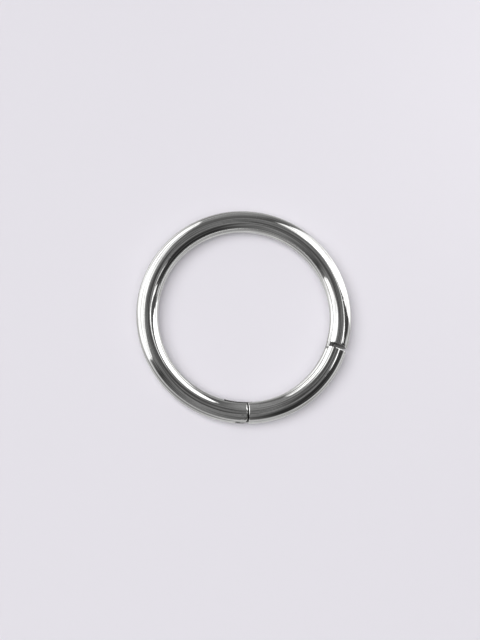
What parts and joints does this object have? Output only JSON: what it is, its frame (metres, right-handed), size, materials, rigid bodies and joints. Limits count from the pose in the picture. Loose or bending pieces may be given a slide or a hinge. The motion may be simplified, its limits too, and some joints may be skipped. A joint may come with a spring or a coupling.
{
  "type": "hinged key ring",
  "caption": "Round-wire key ring with a hinged gate segment that swings outward on a flush pin and closes over a flat tab.",
  "frame": {"origin": "centre of the ring, in the middle plane of its wire", "axes": "+Z is square to the ring's plane, +Y points away from the hinge, +X towards the gate's free end; the gate lies in the lower right quarter"},
  "size_m": [0.04, 0.04, 0.004],
  "materials": {
    "polished_steel": "polished",
    "ground_steel": "polished"
  },
  "bodies": {
    "ring": {"ring_body": "polished_steel", "hinge_pin": "ground_steel"},
    "gate_segment": {"gate": "polished_steel"}
  },
  "joints": [
    {"name": "gate_hinge", "type": "hinge", "parent": "ring", "child": "gate_segment", "pos_m": [-0.00054, -0.01903, 0], "axis": [0, 0, -1], "range_deg": [0, 95]}
  ]
}
